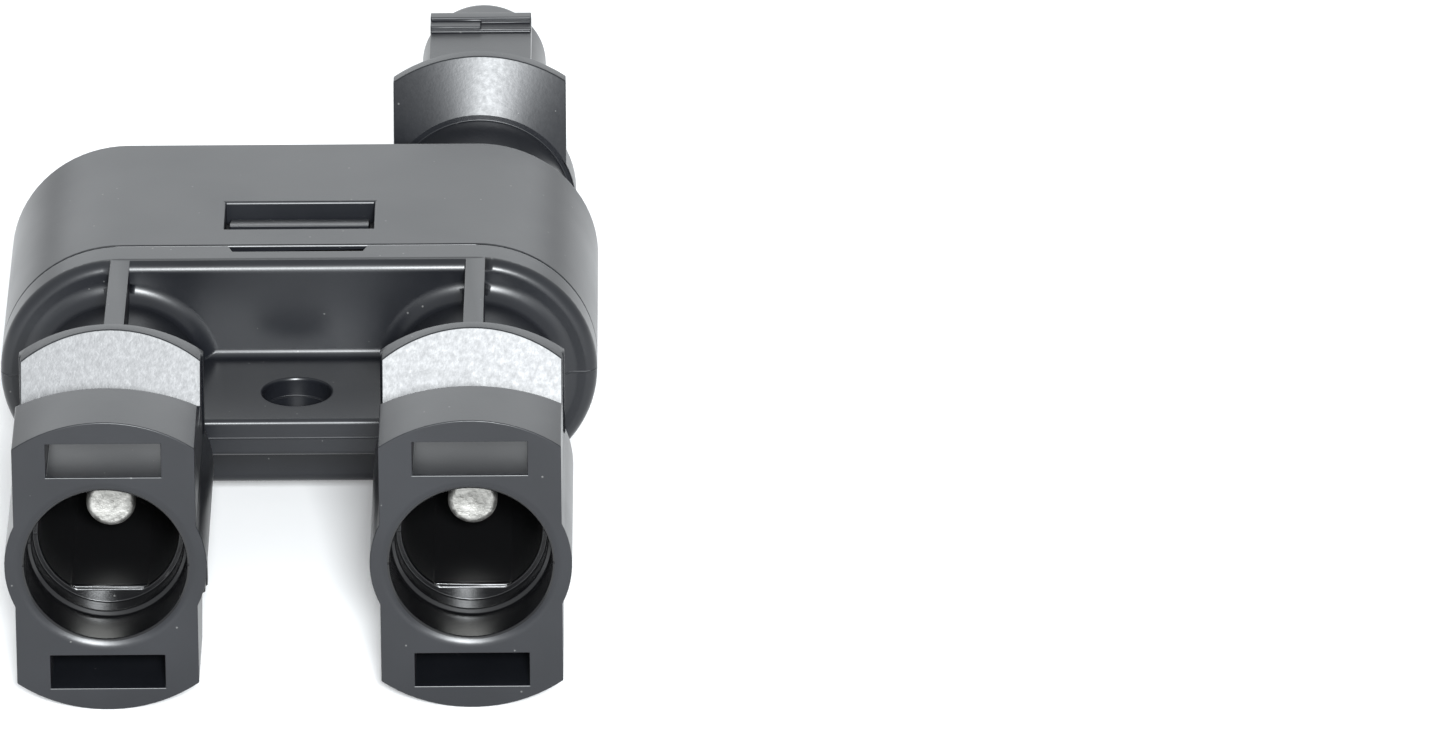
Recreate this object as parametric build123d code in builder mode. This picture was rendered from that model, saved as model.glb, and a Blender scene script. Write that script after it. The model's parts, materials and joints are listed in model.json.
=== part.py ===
"""Branch connector for solar cables, in millimetres.

Two sockets at the front share one plug at the rear. A snap-on cap carries the sockets and a web
with a mounting hole, and closes a housing that holds a busbar. The busbar joins the three contacts.
Origin: centre of the mounting hole. +X towards the plug's side, +Y from the sockets to the plug, +Z up.
"""
import os
from math import radians, tan

from build123d import *

os.makedirs("parts", exist_ok=True)

HOLE_STATION = 30.9  # from the sockets' front faces back to the mounting hole


def station(distance):
    """Y of a cross-section that lies this far behind the sockets' front faces."""
    return distance - HOLE_STATION


# Contact axes
PITCH = 29.2
PLUG_X = PITCH / 2
SOCKET_XS = (-PITCH / 2, PITCH / 2)

# Socket heads
HEAD_R = 12.6
HEAD_HALF_WIDTH = 7.3
BARREL_R = 8.1
FRONT = station(0)
RECESS_FLOOR_Z = 6.9
BRIDGE_LENGTH = 6.9
BRIDGE_LEAN = 36.0  # degrees that the bridge's rear face leans back towards its foot
RAMP_LEAN = 25.0  # degrees that the ramp leans back from upright
RAMP_TOP = station(18.6)
RIDGE_HALF_WIDTH = 7.45
RIDGE_REAR = station(19.8)
SLOT_Z = 7.8  # inner side of the latch slots
SLOT_WIDTH = 9.2
SLOT_HEIGHT = 2.9

# Socket bores
LEAD_IN_LEAN = 25.0  # degrees that the lead-in faces lean back from upright
MOUTH_R = 6.5
MOUTH_LEAD = 0.85
RING_STEP = station(4.7)
RING_R = 6.1
KEYED_FRONT = station(6.6)
KEYED_R = 5.65
KEYED_FLAT_Z = -4.7
KEYED_REAR = station(31.0)
KEY_CHAMFER = 0.3

# Cap
FACE_FRONT = station(38.2)
FACE_ROUND = 1.0
CAP_REAR = station(41.8)
SEAM_CHAMFER = 0.12
CAP_INNER = station(40.4)
SKIRT_REAR = station(46.0)
SKIRT_R = 7.9
SKIRT_INNER_R = 6.9
NECK_R = 6.8
NECK_FLARE_R = 1.6
NECK_CAVITY_R = 5.6
NECK_CAVITY_FRONT = station(35.0)
RIB_WIDTHS = (1.75, 1.5)  # at the ridge and at the wall
RIB_TOP = 9.95
RIB_FOOT = 6.0
NOTCH_LENGTH = 1.25
NOTCH_WIDTH = 11.5
NOTCH_DEPTH = 0.8
NOTCH_SLANT = 0.4

# Web with the mounting hole
WEB_THICKNESS = 3.2
WEB_FRONT = station(25.1)
WEB_HALF_WIDTH = 8.4
WEB_ROUND = 0.45
WEB_FILLET = 0.7
MOUNTING_HOLE_R = 2.8
HOLE_RIM = 0.15

# Housing
CASE_R = 10.0
CAVITY_R = 8.0
TAPER_FRONT = station(63.2)
CASE_REAR = station(69.5)
REAR_R = 6.1
LEDGE = station(60.0)
WELL_R = 6.4
WELL_REAR_R = 4.4
WELL_REAR = station(67.4)
WINDOW_FRONT = station(45.3)
WINDOW_REAR = station(50.9)
WINDOW_WIDTH = 12.3
WINDOW_CHAMFER = 0.15

# Plug
PLUG_NECK_R = 7.6
PLUG_NECK_FILLET = 2.0
FLARE_FRONT = station(73.9)
FLARE_BASE_R = 8.05
FLARE_REAR = station(76.05)
FLANGE_REAR = station(77.3)
NOSE_R = 5.35
NOSE_FLAT_Z = -4.5
NOSE_TIP = station(106.5)
NOSE_ROUND = 1.5
NOSE_SEAL_Y = station(79.6)
NOSE_SEAL_MINOR_R = 0.95
NOSE_GROOVE_R = 4.6
NOSE_GROOVE_WIDTH = 2.1

# Contacts, seals and clips
PIN_R = 2.0
PIN_TIP = station(12.3)
PIN_TIP_ROUND = 0.45
SHANK_R = 2.45
PIN_SEAL_POCKET_FRONT = station(33.4)
COLLAR_R = 3.4
COLLAR_LENGTH = 2.1
TAIL_R = 1.6
TAIL_LENGTH = 2.9
SOCKET_CONTACT_R = 2.9
SOCKET_CONTACT_TIP = station(104.0)
SOCKET_MOUTH_R = 2.12
SOCKET_MOUTH_LENGTH = 2.0
SOCKET_CHAMBER_R = 2.45
SOCKET_CHAMBER_FRONT = station(88.5)
TULIP_SLOT_LENGTH = 12.0
TULIP_SLOT_WIDTH = 0.6
BAND_INNER_R = 2.08
BAND_THICKNESS = 0.34
BAND_FRONT = station(92.5)
BAND_REAR = station(100.0)
BAND_LOUVRES = 12
CONTACT_PASSAGE_R = 3.0
SEAL_MINOR_R = 0.82
PIN_SEAL_POCKET_R = 4.2
PLUG_SEAL_POCKET_R = 4.65
PLUG_SEAL_POCKET_REAR = station(71.5)
CLIP_THICKNESS = 0.5
FIT_GAP = 0.05

# Busbar and its carrier
BUSBAR_FRONT = station(54.0)
BUSBAR_REAR = station(56.0)
BUSBAR_END_R = 5.0
BUSBAR_WIDTH = 7.0
CARRIER_FRONT = station(54.4)
CARRIER_R = 7.7
CARRIER_POCKET_R = 5.3
CARRIER_HOLE_R = 4.4
SOLDER_WIDTH = 0.8

# Moving latches
ARM_WIDTH = 8.6
ARM_THICKNESS = 2.2
ARM_TOP_Z = 10.5
ARM_TIP = station(90.9)
HOOK_TOP_Z = 11.35
HOOK_FACE = station(87.75)
HOOK_STEP = station(86.45)
HOOK_HIGH_STEP_Z = 11.05
HOOK_LOW_STEP_Z = 10.8
HOOK_CREST = station(88.85)
ARM_ROOT_GAP = 0.15
TONGUE_WIDTH = 11.5
TONGUE_THICKNESS = 1.4
TONGUE_TOP_Z = 7.7
TONGUE_HEAD_Z = 9.7
TONGUE_TIP_Z = 8.5
TONGUE_HEAD_FRONT = station(46.5)
TONGUE_CREST = station(47.1)
TONGUE_TIP = station(50.7)
TONGUE_ROOT_GAP = 0.1

# Housing gasket
GASKET_R = 9.1
GASKET_WIDTH = 0.7
GASKET_DEPTH = 0.8


def section(y):
    """Plane across the connector at y, seen from the front: local x is X and local y is Z."""
    return Plane.XZ.offset(-y)


def turned(x, outline):
    """Solid of revolution about the contact axis at x, from (radius, y) points."""
    with BuildPart() as body:
        with BuildSketch(Plane.XY):
            with BuildLine():
                Polyline(*[(x + radius, y) for radius, y in outline], close=True)
            make_face()
        revolve(axis=Axis((x, 0, 0), (0, 1, 0)))
    return body.part


def tube(x, inner_r, outer_r, front, rear):
    """Plain ring about the contact axis at x."""
    return turned(x, [(inner_r, front), (outer_r, front), (outer_r, rear), (inner_r, rear)])


def o_ring(x, major_r, minor_r, y):
    """Round-section seal ring about the contact axis at x."""
    with BuildPart() as ring:
        with BuildSketch(Plane.XY):
            with Locations((x + major_r, y)):
                Circle(minor_r)
        revolve(axis=Axis((x, 0, 0), (0, 1, 0)))
    return ring.part


def save(part, name):
    """Label a finished piece and write its STEP file."""
    part.label = name
    export_step(part, f"parts/{name}.step")


# ---------------------------------------------------------------- socket cap
with BuildPart() as neck_flares:
    for x in SOCKET_XS:
        flare_outer = x + NECK_R + NECK_FLARE_R
        flare_front = FACE_FRONT - NECK_FLARE_R
        with BuildSketch(Plane.XY):
            with BuildLine():
                CenterArc((flare_outer, flare_front), NECK_FLARE_R, 90, 90)
                Polyline(
                    (flare_outer - NECK_FLARE_R, flare_front),
                    (x, flare_front),
                    (x, FACE_FRONT + 0.5),
                    (flare_outer, FACE_FRONT + 0.5),
                    (flare_outer, FACE_FRONT),
                )
            make_face()
        revolve(axis=Axis((x, 0, 0), (0, 1, 0)))

with BuildPart() as web:
    with BuildSketch(Plane.XY.offset(-WEB_THICKNESS / 2)):
        with Locations((0, (WEB_FRONT + FACE_FRONT + 0.5) / 2)):
            Rectangle(2 * WEB_HALF_WIDTH, FACE_FRONT + 0.5 - WEB_FRONT)
    extrude(amount=WEB_THICKNESS)
    fillet(web.edges().filter_by(Axis.X).group_by(Axis.Y)[0], radius=WEB_ROUND)
    # A strip of the wall behind it, so that the corner between them is filleted
    with BuildSketch(section(FACE_FRONT + 0.5)):
        Rectangle(2 * WEB_HALF_WIDTH, WEB_THICKNESS + 4 * WEB_FILLET)
    extrude(amount=0.5)
    web_corners = web.edges().filter_by(Axis.X).filter_by_position(Axis.Y, FACE_FRONT, FACE_FRONT)
    fillet(web_corners.filter_by_position(Axis.Z, -WEB_THICKNESS / 2, WEB_THICKNESS / 2), radius=WEB_FILLET)
    Hole(MOUNTING_HOLE_R)
    chamfer(web.edges().filter_by(GeomType.CIRCLE), length=HOLE_RIM)

with BuildPart() as socket_cap:
    # Wall as large as the housing, with a rounded front edge, and a skirt that enters the housing
    with BuildSketch(section(CAP_REAR)):
        SlotCenterToCenter(PITCH, 2 * CASE_R)
    extrude(amount=CAP_REAR - FACE_FRONT)
    fillet(socket_cap.edges().group_by(Axis.Y)[0], radius=FACE_ROUND)
    chamfer(socket_cap.edges().group_by(Axis.Y)[-1], length=SEAM_CHAMFER)
    with BuildSketch(section(SKIRT_REAR)):
        SlotCenterToCenter(PITCH, 2 * SKIRT_R)
    extrude(amount=SKIRT_REAR - CAP_REAR)
    add(neck_flares.part)
    # Necks, barrels, and heads and ridges cut to two flats
    for rear, radius in ((FACE_FRONT + 0.5, NECK_R), (RIDGE_REAR, BARREL_R)):
        with BuildSketch(section(rear)):
            with GridLocations(PITCH, PITCH, 2, 1):
                Circle(radius)
        extrude(amount=rear - FRONT)
    for x in SOCKET_XS:
        for front, rear, half_width in (
            (FRONT, RAMP_TOP, HEAD_HALF_WIDTH),
            (RAMP_TOP, RIDGE_REAR, RIDGE_HALF_WIDTH),
        ):
            with BuildSketch(section(rear)):
                with Locations((x, 0)):
                    Circle(HEAD_R)
                    Rectangle(2 * half_width, 2 * HEAD_R, mode=Mode.INTERSECT)
            extrude(amount=rear - front)
    # Recess behind each bridge, with a leaning ramp at its rear, above and below
    clear_z = HEAD_R + 1
    bridge_run = tan(radians(BRIDGE_LEAN))
    for side in (-1, 1):
        with BuildSketch(Plane.YZ):
            with BuildLine():
                Polyline(
                    (FRONT + BRIDGE_LENGTH - bridge_run, side * clear_z),
                    (FRONT + BRIDGE_LENGTH + bridge_run * (HEAD_R - RECESS_FLOOR_Z), side * RECESS_FLOOR_Z),
                    (RAMP_TOP - tan(radians(RAMP_LEAN)) * (HEAD_R - RECESS_FLOOR_Z), side * RECESS_FLOOR_Z),
                    (RAMP_TOP, side * HEAD_R),
                    (RAMP_TOP, side * clear_z),
                    close=True,
                )
            make_face()
        extrude(amount=PITCH, both=True, mode=Mode.SUBTRACT)
    # Latch slots through the bridges
    with BuildSketch(section(RAMP_TOP - 5)):
        with GridLocations(PITCH, 2 * SLOT_Z + SLOT_HEIGHT, 2, 2):
            Rectangle(SLOT_WIDTH, SLOT_HEIGHT)
    extrude(amount=RAMP_TOP - 5 - FRONT, mode=Mode.SUBTRACT)
    # Ribs on the necks, and the web
    for side in (-1, 1):
        with BuildSketch(Plane.XY.offset(side * RIB_FOOT)):
            for x in SOCKET_XS:
                with BuildLine():
                    Polyline(
                        (x - RIB_WIDTHS[0] / 2, RIDGE_REAR),
                        (x + RIB_WIDTHS[0] / 2, RIDGE_REAR),
                        (x + RIB_WIDTHS[1] / 2, FACE_FRONT + FACE_ROUND),
                        (x - RIB_WIDTHS[1] / 2, FACE_FRONT + FACE_ROUND),
                        close=True,
                    )
                make_face()
        extrude(amount=side * (RIB_TOP - RIB_FOOT))
    add(web.part)
    # Stepped bores, with the keyed part behind the ring step
    lead_in_run = tan(radians(LEAD_IN_LEAN))
    for x in SOCKET_XS:
        bore = turned(
            x,
            [
                (0, FRONT - 1),
                (MOUTH_R + MOUTH_LEAD, FRONT - 1),
                (MOUTH_R + MOUTH_LEAD, FRONT),
                (MOUTH_R, FRONT + MOUTH_LEAD * lead_in_run),
                (MOUTH_R, RING_STEP),
                (RING_R, RING_STEP + (MOUTH_R - RING_R) * lead_in_run),
                (RING_R, KEYED_FRONT),
                (SHANK_R + FIT_GAP, KEYED_FRONT),
                (SHANK_R + FIT_GAP, PIN_SEAL_POCKET_FRONT),
                (PIN_SEAL_POCKET_R, PIN_SEAL_POCKET_FRONT),
                (PIN_SEAL_POCKET_R, NECK_CAVITY_FRONT),
                (NECK_CAVITY_R, NECK_CAVITY_FRONT),
                (NECK_CAVITY_R, CAP_INNER),
                (0, CAP_INNER),
            ],
        )
        add(bore, mode=Mode.SUBTRACT)
        with BuildSketch(section(KEYED_REAR)):
            with Locations((x, 0)):
                Circle(KEYED_R)
            with Locations((x, KEYED_FLAT_Z)):
                Rectangle(2 * KEYED_R, KEYED_R, align=(Align.CENTER, Align.MAX), mode=Mode.SUBTRACT)
        extrude(amount=KEYED_REAR - KEYED_FRONT, mode=Mode.SUBTRACT)
    key_edges = socket_cap.edges().filter_by(Axis.X).filter_by_position(Axis.Y, KEYED_FRONT, KEYED_FRONT)
    chamfer(key_edges, length=KEY_CHAMFER)
    # Hollow inside, gaps for the snap tongues, gasket groove and seam notches
    with BuildSketch(section(SKIRT_REAR)):
        SlotCenterToCenter(PITCH, 2 * SKIRT_INNER_R)
    extrude(amount=SKIRT_REAR - CAP_INNER, mode=Mode.SUBTRACT)
    with BuildSketch(section(SKIRT_REAR)):
        Rectangle(TONGUE_WIDTH + 0.9, 2 * CAVITY_R)
    extrude(amount=SKIRT_REAR - CAP_REAR, mode=Mode.SUBTRACT)
    with BuildSketch(section(CAP_REAR)):
        SlotCenterToCenter(PITCH, 2 * (GASKET_R + FIT_GAP))
        SlotCenterToCenter(PITCH, 2 * (GASKET_R - GASKET_WIDTH - FIT_GAP), mode=Mode.SUBTRACT)
    extrude(amount=GASKET_DEPTH + FIT_GAP, mode=Mode.SUBTRACT)
    for side in (-1, 1):
        with BuildSketch(Plane.XY.offset(side * (CASE_R - NOTCH_DEPTH))):
            with BuildLine():
                Polyline(
                    (-NOTCH_WIDTH / 2, CAP_REAR),
                    (NOTCH_WIDTH / 2, CAP_REAR),
                    (NOTCH_WIDTH / 2 - NOTCH_SLANT, CAP_REAR - NOTCH_LENGTH),
                    (-NOTCH_WIDTH / 2 + NOTCH_SLANT, CAP_REAR - NOTCH_LENGTH),
                    close=True,
                )
            make_face()
        extrude(amount=side * (NOTCH_DEPTH + 1), mode=Mode.SUBTRACT)
save(socket_cap.part, "socket_cap")

# ---------------------------------------------------------------- main housing
with BuildPart() as plug_head:
    flare = [
        (0, FLARE_FRONT),
        (FLARE_BASE_R, FLARE_FRONT),
        (HEAD_R, FLARE_REAR),
        (HEAD_R, FLANGE_REAR),
        (0, FLANGE_REAR),
    ]
    add(turned(PLUG_X, flare))
    with BuildSketch(section(FLANGE_REAR)):
        with Locations((PLUG_X, 0)):
            Rectangle(2 * HEAD_HALF_WIDTH, 2 * HEAD_R)
            Circle(BARREL_R)
    extrude(amount=FLANGE_REAR - FLARE_FRONT, mode=Mode.INTERSECT)

with BuildPart() as nose:
    with BuildSketch(section(NOSE_TIP)):
        with Locations((PLUG_X, 0)):
            Circle(NOSE_R)
        with Locations((PLUG_X, NOSE_FLAT_Z)):
            Rectangle(2 * NOSE_R, NOSE_R, align=(Align.CENTER, Align.MAX), mode=Mode.SUBTRACT)
    extrude(amount=NOSE_TIP - FLANGE_REAR)
    fillet(nose.edges().group_by(Axis.Y)[-1], radius=NOSE_ROUND)

with BuildPart() as main_housing:
    # Flat-sided case, tapered at the rear
    with BuildSketch(section(TAPER_FRONT)):
        SlotCenterToCenter(PITCH, 2 * CASE_R)
    extrude(amount=TAPER_FRONT - CAP_REAR)
    chamfer(main_housing.edges().group_by(Axis.Y)[0], length=SEAM_CHAMFER)
    for y, end_r in ((TAPER_FRONT, CASE_R), (CASE_REAR, REAR_R)):
        with BuildSketch(section(y)):
            SlotCenterToCenter(PITCH, 2 * end_r)
    loft(ruled=True)
    # Neck of the plug
    with BuildSketch(section(FLARE_FRONT)):
        with Locations((PLUG_X, 0)):
            Circle(PLUG_NECK_R)
    extrude(amount=FLARE_FRONT - TAPER_FRONT)
    neck_joint = main_housing.edges(Select.NEW).filter_by_position(Axis.Y, TAPER_FRONT, CASE_REAR)
    fillet(neck_joint, radius=PLUG_NECK_FILLET)
    add(plug_head.part)
    add(nose.part)
    # Windows over the snap tongues
    for side in (-1, 1):
        with BuildSketch(Plane.XY.offset(side * (CAVITY_R - 1))):
            with Locations((0, (WINDOW_FRONT + WINDOW_REAR) / 2)):
                Rectangle(WINDOW_WIDTH, WINDOW_REAR - WINDOW_FRONT)
        extrude(amount=side * (CASE_R - CAVITY_R + 2), mode=Mode.SUBTRACT)
    window_rims = main_housing.edges().filter_by_position(Axis.Y, WINDOW_FRONT, WINDOW_REAR)
    chamfer(
        window_rims.filter_by_position(Axis.Z, CASE_R - 0.01, CASE_R + 0.01)
        + window_rims.filter_by_position(Axis.Z, -CASE_R - 0.01, -CASE_R + 0.01),
        length=WINDOW_CHAMFER,
    )
    # Cavity with a ledge for the carrier, then a well that narrows with the taper
    with BuildSketch(section(LEDGE)):
        SlotCenterToCenter(PITCH, 2 * CAVITY_R)
    extrude(amount=LEDGE - CAP_REAR, mode=Mode.SUBTRACT)
    for y, end_r in ((LEDGE, WELL_R), (WELL_REAR, WELL_REAR_R)):
        with BuildSketch(section(y)):
            SlotCenterToCenter(PITCH, 2 * end_r)
    loft(ruled=True, mode=Mode.SUBTRACT)
    # Passage for the plug's contact, with a seal pocket and a lead-in at the tip
    passage = turned(
        PLUG_X,
        [
            (0, WELL_REAR - 1),
            (PLUG_SEAL_POCKET_R, WELL_REAR - 1),
            (PLUG_SEAL_POCKET_R, PLUG_SEAL_POCKET_REAR),
            (CONTACT_PASSAGE_R, PLUG_SEAL_POCKET_REAR),
            (CONTACT_PASSAGE_R, NOSE_TIP - 1),
            (CONTACT_PASSAGE_R + 0.7, NOSE_TIP),
            (CONTACT_PASSAGE_R + 0.7, NOSE_TIP + 1),
            (0, NOSE_TIP + 1),
        ],
    )
    add(passage, mode=Mode.SUBTRACT)
    groove = tube(
        PLUG_X,
        NOSE_GROOVE_R,
        NOSE_R + 1,
        NOSE_SEAL_Y - NOSE_GROOVE_WIDTH / 2,
        NOSE_SEAL_Y + NOSE_GROOVE_WIDTH / 2,
    )
    add(groove, mode=Mode.SUBTRACT)
save(main_housing.part, "main_housing")

# ---------------------------------------------------------------- latch arms of the plug
ARM_HINGE_Z = ARM_TOP_Z - ARM_THICKNESS / 2
ARM_HINGE_Y = FLANGE_REAR + ARM_ROOT_GAP + ARM_THICKNESS / 2
ARM_INNER_Z = ARM_TOP_Z - ARM_THICKNESS

with BuildPart() as latch_arm_upper:
    with BuildSketch(Plane.YZ.offset(PLUG_X)):
        with Locations((ARM_HINGE_Y, ARM_HINGE_Z)):
            Circle(ARM_THICKNESS / 2)
        with BuildLine():
            Polyline(
                (ARM_HINGE_Y, ARM_INNER_Z),
                (ARM_TIP, ARM_INNER_Z),
                (ARM_TIP, ARM_TOP_Z - 0.6),
                (HOOK_CREST, HOOK_TOP_Z),
                (HOOK_FACE, HOOK_TOP_Z),
                (HOOK_FACE, ARM_TOP_Z),
                (ARM_HINGE_Y, ARM_TOP_Z),
                close=True,
            )
        make_face()
    extrude(amount=ARM_WIDTH / 2, both=True)
    # The catch is stepped, high on one half and low on the other
    for half, step_z in ((-1, HOOK_HIGH_STEP_Z), (1, HOOK_LOW_STEP_Z)):
        with BuildSketch(Plane.XY.offset(ARM_TOP_Z - 0.5)):
            with Locations((PLUG_X + half * ARM_WIDTH / 4, (HOOK_STEP + HOOK_FACE) / 2)):
                Rectangle(ARM_WIDTH / 2, HOOK_FACE - HOOK_STEP)
        extrude(amount=step_z - ARM_TOP_Z + 0.5)
save(latch_arm_upper.part, "latch_arm_upper")

with BuildPart() as latch_arm_lower:
    add(latch_arm_upper.part)
    mirror(about=Plane.XY, mode=Mode.REPLACE)
save(latch_arm_lower.part, "latch_arm_lower")

# ---------------------------------------------------------------- snap tongues of the cap
TONGUE_HINGE_Z = TONGUE_TOP_Z - TONGUE_THICKNESS / 2
TONGUE_HINGE_Y = CAP_REAR + TONGUE_ROOT_GAP + TONGUE_THICKNESS / 2

with BuildPart() as snap_tongue_upper:
    with BuildSketch(Plane.YZ):
        with Locations((TONGUE_HINGE_Y, TONGUE_HINGE_Z)):
            Circle(TONGUE_THICKNESS / 2)
        with BuildLine():
            Polyline(
                (TONGUE_HINGE_Y, TONGUE_TOP_Z - TONGUE_THICKNESS),
                (TONGUE_TIP, TONGUE_TOP_Z - TONGUE_THICKNESS),
                (TONGUE_TIP, TONGUE_TIP_Z),
                (TONGUE_CREST, TONGUE_HEAD_Z),
                (TONGUE_HEAD_FRONT, TONGUE_HEAD_Z),
                (TONGUE_HEAD_FRONT, TONGUE_TOP_Z),
                (TONGUE_HINGE_Y, TONGUE_TOP_Z),
                close=True,
            )
        make_face()
    extrude(amount=TONGUE_WIDTH / 2, both=True)
save(snap_tongue_upper.part, "snap_tongue_upper")

with BuildPart() as snap_tongue_lower:
    add(snap_tongue_upper.part)
    mirror(about=Plane.XY, mode=Mode.REPLACE)
save(snap_tongue_lower.part, "snap_tongue_lower")

# ---------------------------------------------------------------- pin contacts
PIN_OUTLINE = [
    (0, PIN_TIP),
    (PIN_R, PIN_TIP),
    (PIN_R, KEYED_REAR),
    (SHANK_R, KEYED_REAR),
    (SHANK_R, BUSBAR_FRONT - COLLAR_LENGTH),
    (COLLAR_R, BUSBAR_FRONT - COLLAR_LENGTH),
    (COLLAR_R, BUSBAR_FRONT),
    (TAIL_R, BUSBAR_FRONT),
    (TAIL_R, BUSBAR_FRONT + TAIL_LENGTH),
    (0, BUSBAR_FRONT + TAIL_LENGTH),
]
PIN_SEAL_Y = (PIN_SEAL_POCKET_FRONT + NECK_CAVITY_FRONT) / 2

for side_name, x in zip(("left", "right"), SOCKET_XS):
    with BuildPart() as pin_contact:
        add(turned(x, PIN_OUTLINE))
        fillet(pin_contact.edges().group_by(Axis.Y)[0], radius=PIN_TIP_ROUND)
    save(pin_contact.part, f"pin_contact_{side_name}")
    save(o_ring(x, SHANK_R + SEAL_MINOR_R, SEAL_MINOR_R - 0.02, PIN_SEAL_Y), f"pin_seal_{side_name}")
    with BuildPart() as pin_clip:
        clip_rear = NECK_CAVITY_FRONT + FIT_GAP + CLIP_THICKNESS
        with BuildSketch(section(clip_rear)):
            with Locations((x, 0)):
                Circle(NECK_CAVITY_R - FIT_GAP)
                Circle(SHANK_R + FIT_GAP, mode=Mode.SUBTRACT)
                with PolarLocations(SHANK_R + 0.8, 6):
                    Rectangle(1.6, 0.7, mode=Mode.SUBTRACT)
        extrude(amount=CLIP_THICKNESS)
    save(pin_clip.part, f"pin_clip_{side_name}")

# ---------------------------------------------------------------- contact inside the plug
with BuildPart() as socket_contact:
    add(
        turned(
            PLUG_X,
            [
                (TAIL_R + FIT_GAP, BUSBAR_REAR),
                (COLLAR_R, BUSBAR_REAR),
                (COLLAR_R, BUSBAR_REAR + COLLAR_LENGTH),
                (SOCKET_CONTACT_R, BUSBAR_REAR + COLLAR_LENGTH),
                (SOCKET_CONTACT_R, SOCKET_CONTACT_TIP),
                (SOCKET_MOUTH_R, SOCKET_CONTACT_TIP),
                (SOCKET_MOUTH_R, SOCKET_CONTACT_TIP - SOCKET_MOUTH_LENGTH),
                (SOCKET_CHAMBER_R, SOCKET_CONTACT_TIP - SOCKET_MOUTH_LENGTH),
                (SOCKET_CHAMBER_R, SOCKET_CHAMBER_FRONT),
                (0, SOCKET_CHAMBER_FRONT),
                (0, BUSBAR_REAR + COLLAR_LENGTH),
                (TAIL_R + FIT_GAP, BUSBAR_REAR + COLLAR_LENGTH),
            ],
        )
    )
    with BuildSketch(section(SOCKET_CONTACT_TIP)):
        with Locations((PLUG_X, 0)):
            Rectangle(TULIP_SLOT_WIDTH, 2 * SOCKET_CONTACT_R + 1)
            Rectangle(2 * SOCKET_CONTACT_R + 1, TULIP_SLOT_WIDTH)
    extrude(amount=TULIP_SLOT_LENGTH, mode=Mode.SUBTRACT)
save(socket_contact.part, "socket_contact")

with BuildPart() as contact_band:
    add(tube(PLUG_X, BAND_INNER_R, BAND_INNER_R + BAND_THICKNESS, BAND_FRONT, BAND_REAR))
    with BuildSketch(section(BAND_REAR - 1)):
        with Locations((PLUG_X, 0)):
            with PolarLocations(BAND_INNER_R + BAND_THICKNESS / 2, BAND_LOUVRES):
                Rectangle(1.0, 0.4)
    extrude(amount=BAND_REAR - BAND_FRONT - 2, mode=Mode.SUBTRACT)
save(contact_band.part, "contact_band")

PLUG_SEAL_Y = PLUG_SEAL_POCKET_REAR - SEAL_MINOR_R
plug_seal = o_ring(PLUG_X, SOCKET_CONTACT_R + SEAL_MINOR_R + 0.03, SEAL_MINOR_R, PLUG_SEAL_Y)
save(plug_seal, "contact_seal")
clip_rear = PLUG_SEAL_POCKET_REAR - 2 * SEAL_MINOR_R - FIT_GAP
contact_clip = tube(
    PLUG_X,
    SOCKET_CONTACT_R + FIT_GAP,
    PLUG_SEAL_POCKET_R - FIT_GAP,
    clip_rear - CLIP_THICKNESS,
    clip_rear,
)
save(contact_clip, "contact_clip")
nose_seal_major_r = NOSE_GROOVE_R + NOSE_SEAL_MINOR_R + 0.02
save(o_ring(PLUG_X, nose_seal_major_r, NOSE_SEAL_MINOR_R, NOSE_SEAL_Y), "nose_o_ring")

# ---------------------------------------------------------------- busbar, carrier, solder and gasket
with BuildPart() as busbar:
    with BuildSketch(section(BUSBAR_REAR)):
        Rectangle(PITCH, BUSBAR_WIDTH)
        with GridLocations(PITCH, PITCH, 2, 1):
            Circle(BUSBAR_END_R)
            Circle(TAIL_R + FIT_GAP, mode=Mode.SUBTRACT)
    extrude(amount=BUSBAR_REAR - BUSBAR_FRONT)
save(busbar.part, "busbar")

with BuildPart() as busbar_carrier:
    with BuildSketch(section(LEDGE)):
        SlotCenterToCenter(PITCH, 2 * CARRIER_R)
    extrude(amount=LEDGE - CARRIER_FRONT)
    with BuildSketch(section(BUSBAR_REAR)):
        SlotCenterToCenter(PITCH, 2 * CARRIER_POCKET_R)
    extrude(amount=BUSBAR_REAR - CARRIER_FRONT, mode=Mode.SUBTRACT)
    with BuildSketch(section(LEDGE)):
        with GridLocations(PITCH, PITCH, 2, 1):
            Circle(CARRIER_HOLE_R)
    extrude(amount=LEDGE - BUSBAR_REAR, mode=Mode.SUBTRACT)
save(busbar_carrier.part, "busbar_carrier")


def solder_ring(x, inner_r, joint, height):
    """Solder fillet around a contact, from its joint face out along the contact by height."""
    return turned(x, [(inner_r, joint), (inner_r + SOLDER_WIDTH, joint), (inner_r, joint + height)])


with BuildPart() as solder_joints:
    for x in SOCKET_XS:
        add(solder_ring(x, COLLAR_R, BUSBAR_FRONT, -SOLDER_WIDTH))
    add(solder_ring(PLUG_X, COLLAR_R, BUSBAR_REAR, SOLDER_WIDTH))
    add(solder_ring(-PITCH / 2, TAIL_R, BUSBAR_REAR, SOLDER_WIDTH))
save(solder_joints.part, "solder_joints")

with BuildPart() as housing_gasket:
    with BuildSketch(section(CAP_REAR)):
        SlotCenterToCenter(PITCH, 2 * GASKET_R)
        SlotCenterToCenter(PITCH, 2 * (GASKET_R - GASKET_WIDTH), mode=Mode.SUBTRACT)
    extrude(amount=GASKET_DEPTH)
save(housing_gasket.part, "housing_gasket")
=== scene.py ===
"""Studio picture of the branch connector for solar cables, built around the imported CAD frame."""
import json
import math

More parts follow.
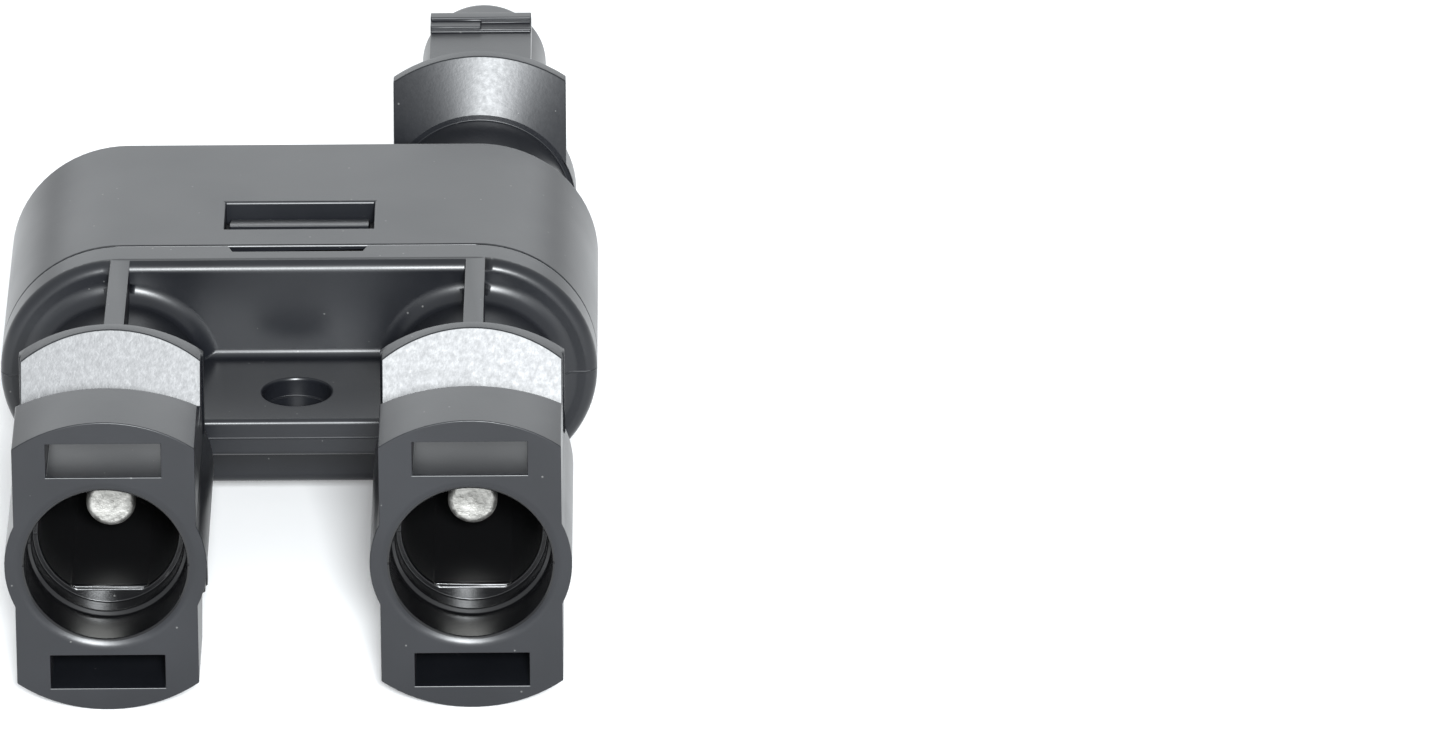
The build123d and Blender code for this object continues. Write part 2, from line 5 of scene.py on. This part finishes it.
import bpy
from mathutils import Euler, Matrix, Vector


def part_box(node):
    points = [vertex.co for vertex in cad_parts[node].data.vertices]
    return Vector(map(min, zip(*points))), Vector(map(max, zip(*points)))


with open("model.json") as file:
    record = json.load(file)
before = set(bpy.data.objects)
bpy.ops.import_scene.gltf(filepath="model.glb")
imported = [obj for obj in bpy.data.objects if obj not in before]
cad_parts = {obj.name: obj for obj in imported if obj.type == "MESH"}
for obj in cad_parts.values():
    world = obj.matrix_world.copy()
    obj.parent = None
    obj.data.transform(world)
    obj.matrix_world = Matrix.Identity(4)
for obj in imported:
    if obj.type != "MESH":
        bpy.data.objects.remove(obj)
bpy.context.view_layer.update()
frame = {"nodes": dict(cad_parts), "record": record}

MM = 0.001

# ---------------------------------------------------------------- places, read from the frame
cap_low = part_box("socket_cap")[0]
housing_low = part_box("main_housing")[0]
FRONT_Y = cap_low.y
FLOOR_Z = min(cap_low.z, housing_low.z)
pin_low, pin_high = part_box("pin_contact_right")
SOCKET_X = (pin_low.x + pin_high.x) / 2
PLUG_X = SOCKET_X  # the plug is in line with the right socket


def station(distance_mm):
    """Y, in metres, of the cross-section this far behind the sockets' front faces."""
    return FRONT_Y + distance_mm * MM


# Moulded features that the plastic's texture follows. Spans run between two stations, in mm.
RAMP_SPAN = (15.9, 18.6)
RAMP_FOOT = 6.95 * MM
FLARE_SPAN = (73.92, 76.03)
FLARE_LEAN = math.radians(25.3)  # how far the flare's surface leans back from upright
BORE_R = 6.75 * MM
# The bore's mouth, which has a polish and painted shade, and its deep part, which has painted shade
POLISH_AND_SHADE_SPAN = (0.3, 7.0)
DEEP_SPAN = (7.0, 31.5)
PARTING_START = 0.3

# ---------------------------------------------------------------- camera
CAMERA_PITCH = 23.71
CAMERA_ROLL = -0.283
CAMERA_YAW = -0.19
CAMERA_AT = (31.4 * MM, station(-1018.3), 463.5 * MM)
SENSOR_WIDTH = 36.0
FOCAL_PIXELS = 14000.0
FRAME_WIDTH = 1445.0

camera_data = bpy.data.cameras.new("studio_camera")
camera_data.sensor_width = SENSOR_WIDTH
camera_data.lens = FOCAL_PIXELS * SENSOR_WIDTH / FRAME_WIDTH
camera_data.clip_start = 0.05
camera_data.clip_end = 20.0
camera = bpy.data.objects.new("studio_camera", camera_data)
camera.location = CAMERA_AT
level = Euler((math.radians(90 - CAMERA_PITCH), 0, math.radians(CAMERA_YAW)), "XYZ").to_matrix()
roll = Euler((0, 0, math.radians(CAMERA_ROLL)), "XYZ").to_matrix()
camera.rotation_euler = (level @ roll).to_euler("XYZ")
bpy.context.scene.collection.objects.link(camera)
bpy.context.scene.camera = camera


# ---------------------------------------------------------------- node helpers
NOISE_LOW = 0.3  # nearly all of a noise texture's values lie between these two
NOISE_HIGH = 0.7
CONE_LIKENESS = 0.985  # cosine between a face and the cone above which the face is part of the cone


class Graph:
    """Small helper that builds one material's node graph."""

    def __init__(self, name):
        self.material = bpy.data.materials.new(name)
        self.material.use_nodes = True
        self.tree = self.material.node_tree
        self.shader = self.tree.nodes["Principled BSDF"]

    def node(self, kind, **settings):
        made = self.tree.nodes.new(kind)
        for key, value in settings.items():
            setattr(made, key, value)
        return made

    def feed(self, socket, value):
        if isinstance(value, bpy.types.NodeSocket):
            self.tree.links.new(value, socket)
        else:
            socket.default_value = value

    def math(self, operation, *values):
        made = self.node("ShaderNodeMath", operation=operation)
        for socket, value in zip(made.inputs, values):
            self.feed(socket, value)
        return made.outputs[0]

    def place(self):
        """Object coordinates, which are the frame's own metres, split into x, y and z."""
        coordinates = self.node("ShaderNodeTexCoord").outputs["Object"]
        split = self.node("ShaderNodeSeparateXYZ")
        self.feed(split.inputs[0], coordinates)
        return coordinates, split.outputs[0], split.outputs[1], split.outputs[2]

    def noise(self, vector, scale, detail=2.0, roughness=0.5):
        made = self.node("ShaderNodeTexNoise")
        self.feed(made.inputs["Vector"], vector)
        made.inputs["Scale"].default_value = scale
        made.inputs["Detail"].default_value = detail
        made.inputs["Roughness"].default_value = roughness
        return made.outputs["Fac"]

    def both(self, a, b):
        return self.math("MULTIPLY", a, b)

    def within(self, y, span):
        """1 between the span's two stations, which are in mm."""
        front, rear = span
        behind_front = self.math("GREATER_THAN", y, station(front))
        return self.both(behind_front, self.math("LESS_THAN", y, station(rear)))

    def blend(self, share, a, b):
        """Number a where the share is 0 and b where it is 1."""
        rest = self.math("SUBTRACT", 1.0, share)
        return self.math("ADD", self.both(rest, a), self.both(share, b))

    def speck(self, vector, scale, size):
        """1 in small scattered spots."""
        made = self.node("ShaderNodeTexVoronoi")
        self.feed(made.inputs["Vector"], vector)
        made.inputs["Scale"].default_value = scale
        return self.math("LESS_THAN", made.outputs["Distance"], size)

    def shade(self, value, dark, light, low=NOISE_LOW, high=NOISE_HIGH):
        """Colour that runs from dark to light as the value goes from low to high."""
        made = self.node("ShaderNodeValToRGB")
        self.feed(made.inputs[0], value)
        for element, position, colour in zip(made.color_ramp.elements, (low, high), (dark, light)):
            element.position = position
            element.color = (*colour, 1.0)
        return made.outputs[0]

    def mapped(self, value, low, high, to_low, to_high):
        made = self.node("ShaderNodeMapRange")
        self.feed(made.inputs["Value"], value)
        for name, number in zip(("From Min", "From Max", "To Min", "To Max"), (low, high, to_low, to_high)):
            made.inputs[name].default_value = number
        return made.outputs["Result"]

    def spread(self, noise, low, high):
        """The noise's usual values, stretched to run from low to high."""
        return self.mapped(noise, NOISE_LOW, NOISE_HIGH, low, high)

    def mix(self, share, a, b):
        made = self.node("ShaderNodeMix", data_type="RGBA")
        self.feed(made.inputs[0], share)
        self.feed(made.inputs[6], a)
        self.feed(made.inputs[7], b)
        return made.outputs[2]

    def bump(self, height, distance, strength=1.0, normal=None):
        made = self.node("ShaderNodeBump")
        self.feed(made.inputs["Height"], height)
        made.inputs["Distance"].default_value = distance
        made.inputs["Strength"].default_value = strength
        if normal is not None:
            self.feed(made.inputs["Normal"], normal)
        return made.outputs["Normal"]

    def vector(self, operation, *values):
        made = self.node("ShaderNodeVectorMath", operation=operation)
        for socket, value in zip(made.inputs, values):
            self.feed(socket, value)
        return made.outputs["Value" if operation == "DOT_PRODUCT" else "Vector"]

    def cone_normal(self, x, z, lean, region):
        """Shading normal that is smooth on the region's cone about the plug, unchanged elsewhere."""
        radial = self.node("ShaderNodeCombineXYZ")
        self.feed(radial.inputs[0], self.math("SUBTRACT", x, PLUG_X))
        self.feed(radial.inputs[2], z)
        outward = self.node("ShaderNodeVectorMath", operation="SCALE")
        self.feed(outward.inputs[0], self.vector("NORMALIZE", radial.outputs[0]))
        outward.inputs["Scale"].default_value = math.sin(lean)
        smooth = self.vector("ADD", outward.outputs[0], (0, -math.cos(lean), 0))
        geometry = self.node("ShaderNodeNewGeometry")
        likeness = self.vector("DOT_PRODUCT", smooth, geometry.outputs["True Normal"])
        made = self.node("ShaderNodeMix", data_type="VECTOR")
        self.feed(made.inputs[0], self.both(region, self.math("GREATER_THAN", likeness, CONE_LIKENESS)))
        self.feed(made.inputs[4], geometry.outputs["Normal"])
        self.feed(made.inputs[5], smooth)
        return self.vector("NORMALIZE", made.outputs[1])

    def set(self, name, value):
        self.feed(self.shader.inputs[name], value)


def black_plastic():
    """Charcoal plastic: fine grain, textured ramps and flare, bores with a polish and with painted shade,
    parting line and dust.
    """
    g = Graph("moulded_plastic")
    where, x, y, z = g.place()
    height = g.math("ABSOLUTE", z)
    # Where the mould was spark-eroded, and where its core pins gave the bores a polish; the bore masks also
    # carry painted shade
    on_ramp = g.both(g.within(y, RAMP_SPAN), g.math("GREATER_THAN", height, RAMP_FOOT))
    on_flare = g.within(y, FLARE_SPAN)
    eroded = g.math("MAXIMUM", on_ramp, on_flare)
    off_axis = g.math("SUBTRACT", g.math("ABSOLUTE", x), SOCKET_X)
    radius = g.math("SQRT", g.math("ADD", g.math("MULTIPLY", off_axis, off_axis), g.math("MULTIPLY", z, z)))
    in_bore = g.math("LESS_THAN", radius, BORE_R)
    polish_and_shade = g.both(in_bore, g.within(y, POLISH_AND_SHADE_SPAN))
    deep = g.both(in_bore, g.within(y, DEEP_SPAN))
    # Colour: a slow cloud, painted shade that darkens the bores, and a few pale specks of dust
    cloud = g.noise(where, scale=90.0, detail=3.0, roughness=0.55)
    tone = g.shade(cloud, dark=(0.0040, 0.0046, 0.0064), light=(0.0072, 0.0080, 0.0104))
    # Painted shade: the bores' colour is darkened from the mouth to the back
    tone = g.mix(g.math("ADD", polish_and_shade, deep), tone, (0.004, 0.004, 0.0045, 1.0))
    dust = g.both(g.speck(where, scale=560.0, size=0.048), g.math("SUBTRACT", 1.0, deep))
    tone = g.mix(g.both(dust, 0.3), tone, (0.25, 0.25, 0.24, 1.0))
    g.set("Base Color", tone)
    # Gloss
    coarse = g.noise(where, scale=2400.0, detail=3.0, roughness=0.6)
    gloss = g.spread(cloud, 0.31, 0.37)
    gloss = g.blend(eroded, gloss, g.spread(coarse, 0.33, 0.38))
    gloss = g.blend(polish_and_shade, gloss, 0.22)
    g.set("Roughness", g.blend(deep, gloss, 0.45))
    # Relief
    smooth = g.cone_normal(x, z, FLARE_LEAN, on_flare)
    fine = g.noise(where, scale=5200.0, detail=3.0, roughness=0.6)
    grain = g.bump(fine, 0.004 * MM, strength=0.8, normal=smooth)
    sparked = g.bump(g.both(coarse, eroded), 0.005 * MM, normal=grain)
    ridge = g.mapped(height, 0.03 * MM, 0.09 * MM, 1.0, 0.0)
    parting = g.both(ridge, g.math("GREATER_THAN", y, station(PARTING_START)))
    g.set("Normal", g.bump(parting, 0.04 * MM, normal=sparked))
    g.set("IOR", 1.46)
    return g.material


def carrier_plastic():
    """Plain dark insulator with a slight cloud."""
    g = Graph("carrier_plastic")
    where = g.place()[0]
    cloud = g.noise(where, scale=160.0, detail=3.0)
    g.set("Base Color", g.shade(cloud, dark=(0.04, 0.04, 0.043), light=(0.06, 0.06, 0.063)))
    g.set("Roughness", g.spread(cloud, 0.45, 0.6))
    g.set("Normal", g.bump(g.noise(where, scale=4000.0, detail=3.0), 0.005 * MM, strength=0.7))
    return g.material


def metal(name, dark, light, rough, pit_scale, pit_depth):
    """Plated or bright metal with mottled colour, uneven roughness and small pits, pit_depth mm deep."""
    g = Graph(name)
    where = g.place()[0]
    cloud = g.noise(where, scale=pit_scale * 0.5, detail=4.0, roughness=0.6)
    pits = g.noise(where, scale=pit_scale, detail=4.0, roughness=0.65)
    g.set("Base Color", g.shade(cloud, dark, light))
    g.set("Metallic", 1.0)
    g.set("Roughness", g.spread(pits, *rough))
    g.set("Normal", g.bump(pits, pit_depth * MM))
    return g.material


def rubber():
    """Soft black rubber, slightly bloomed."""
    g = Graph("seal_rubber")
    where = g.place()[0]
    bloom = g.noise(where, scale=600.0, detail=4.0, roughness=0.6)
    dark, light = (0.012, 0.012, 0.013), (0.035, 0.035, 0.037)
    g.set("Base Color", g.shade(bloom, dark, light, low=0.35, high=0.75))
    g.set("Roughness", g.spread(bloom, 0.55, 0.75))
    g.set("Normal", g.bump(g.noise(where, scale=3500.0), 0.006 * MM, strength=0.7))
    return g.material


# Each metal's dark and light colours, range of roughness, and scale and depth of its pits
METALS = {
    "tinned_metal": ((0.20, 0.197, 0.184), (0.63, 0.62, 0.59), (0.48, 0.62), 2000.0, 0.07),
    "busbar_metal": ((0.55, 0.52, 0.47), (0.74, 0.71, 0.65), (0.25, 0.4), 500.0, 0.01),
    "spring_metal": ((0.45, 0.45, 0.46), (0.62, 0.62, 0.63), (0.18, 0.32), 700.0, 0.006),
    "solder": ((0.58, 0.58, 0.59), (0.8, 0.8, 0.8), (0.15, 0.3), 400.0, 0.03),
}
MATERIALS = {
    "moulded_plastic": black_plastic(),
    "carrier_plastic": carrier_plastic(),
    "seal_rubber": rubber(),
    **{name: metal(name, *look) for name, look in METALS.items()},
}
slot_of = {entry["node"]: entry["material_slot"] for entry in frame["record"]["subparts"]}
for name, node in frame["nodes"].items():
    node.data.materials.clear()
    node.data.materials.append(MATERIALS[slot_of[name]])


# ---------------------------------------------------------------- edges
BODY_EDGE_MM = 0.1
TONGUE_EDGE_MM = 0.06
WELD_MM = 0.001
FLAT_DEGREES = 0.3
SHARP_DEGREES = 30


def soften(node, width_mm):
    """Rounds a node's sharp edges as moulding or plating does, with modifiers that leave its mesh alone."""
    weld = node.modifiers.new("weld", "WELD")
    weld.merge_threshold = WELD_MM * MM
    flats = node.modifiers.new("flats", "DECIMATE")
    flats.decimate_type = "DISSOLVE"
    flats.angle_limit = math.radians(FLAT_DEGREES)
    edges = node.modifiers.new("edges", "BEVEL")
    edges.width = width_mm * MM
    edges.segments = 2
    edges.limit_method = "ANGLE"
    edges.angle_limit = math.radians(SHARP_DEGREES)
    edges.use_clamp_overlap = False
    shading = node.modifiers.new("shading", "WEIGHTED_NORMAL")
    shading.mode = "FACE_AREA_WITH_ANGLE"


for name in ("socket_cap", "main_housing", "latch_arm_upper", "latch_arm_lower"):
    soften(frame["nodes"][name], BODY_EDGE_MM)
for name in ("snap_tongue_upper", "snap_tongue_lower"):
    soften(frame["nodes"][name], TONGUE_EDGE_MM)

# ---------------------------------------------------------------- studio
world = bpy.data.worlds.new("studio")
world.use_nodes = True
background = world.node_tree.nodes["Background"]
background.inputs["Color"].default_value = (0.95, 0.98, 1.0, 1.0)
background.inputs["Strength"].default_value = 0.95
bpy.context.scene.world = world
bpy.context.scene.view_settings.view_transform = "Standard"

FLOOR_SIZE = 6.0
bpy.ops.mesh.primitive_plane_add(size=FLOOR_SIZE, location=(0, 0, FLOOR_Z))
floor = bpy.context.object
floor.name = "floor"
g = Graph("pale_floor")
cloud = g.noise(g.place()[0], scale=3.0)
g.set("Base Color", g.shade(cloud, dark=(0.86, 0.86, 0.86), light=(0.9, 0.9, 0.9)))
g.set("Roughness", 0.9)
g.set("Emission Color", (1.0, 1.0, 1.0, 1.0))
g.set("Emission Strength", 0.14)
floor.data.materials.append(g.material)

DAYLIGHT = (0.94, 0.975, 1.0)
TARGET = Vector((0, station(40), 0))


def softbox(name, azimuth, elevation, distance, size, power):
    """Square area light aimed at the object. Azimuth 0 is the camera's side, 90 is +X."""
    a, e = math.radians(azimuth), math.radians(elevation)
    away = Vector((math.sin(a) * math.cos(e), -math.cos(a) * math.cos(e), math.sin(e)))
    data = bpy.data.lights.new(name, "AREA")
    data.shape = "SQUARE"
    data.size = size
    data.energy = power
    data.color = DAYLIGHT
    lamp = bpy.data.objects.new(name, data)
    lamp.location = TARGET + away * distance
    lamp.rotation_euler = (-away).to_track_quat("-Z", "Y").to_euler()
    bpy.context.scene.collection.objects.link(lamp)


softbox("key", azimuth=5, elevation=25, distance=0.95, size=0.14, power=17.5)
softbox("backdrop", azimuth=180, elevation=24, distance=1.2, size=1.0, power=3.9)
